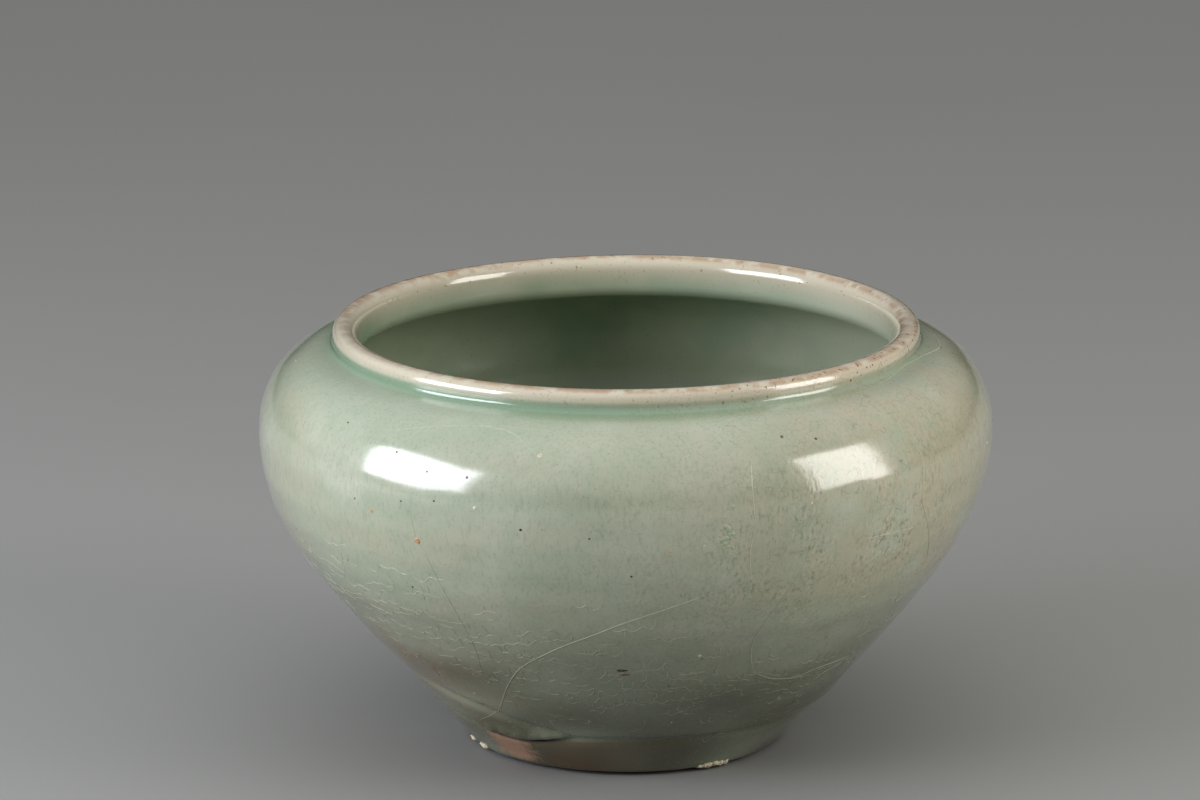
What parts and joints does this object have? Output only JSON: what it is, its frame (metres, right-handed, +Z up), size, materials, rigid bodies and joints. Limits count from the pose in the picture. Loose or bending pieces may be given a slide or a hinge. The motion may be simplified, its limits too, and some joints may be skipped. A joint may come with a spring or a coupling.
{
  "type": "stoneware jar",
  "caption": "Wide-mouthed glazed stoneware jar with a small foot, flared wall, high round shoulder, short neck and rolled lip.",
  "frame": {"origin": "on the table, under the jar's axis, at the bottom of the foot ring", "axes": "+Z up along the jar's axis, -Y towards the side that the picture shows as the front"},
  "size_m": [0.26, 0.26, 0.1509],
  "materials": {
    "stoneware": "bare fired stoneware, salmon to grey, dry and slightly gritty",
    "celadon_glaze": "glossy opaque grey-green celadon, crazed and pitted, pooled darker under the lip",
    "celadon_glaze_inside": "glossy opaque green celadon, smoother than outside",
    "kiln_grit": "pale sandy crumbs, dry"
  },
  "bodies": {
    "root": {"base_section": "stoneware", "belly_section": "stoneware", "shoulder_section": "stoneware", "rim_roll": "stoneware", "outer_glaze": "celadon_glaze", "inner_glaze": "celadon_glaze_inside", "kiln_grit_right": "kiln_grit", "kiln_grit_left": "kiln_grit", "kiln_grit_far_left": "kiln_grit"}
  },
  "joints": []
}
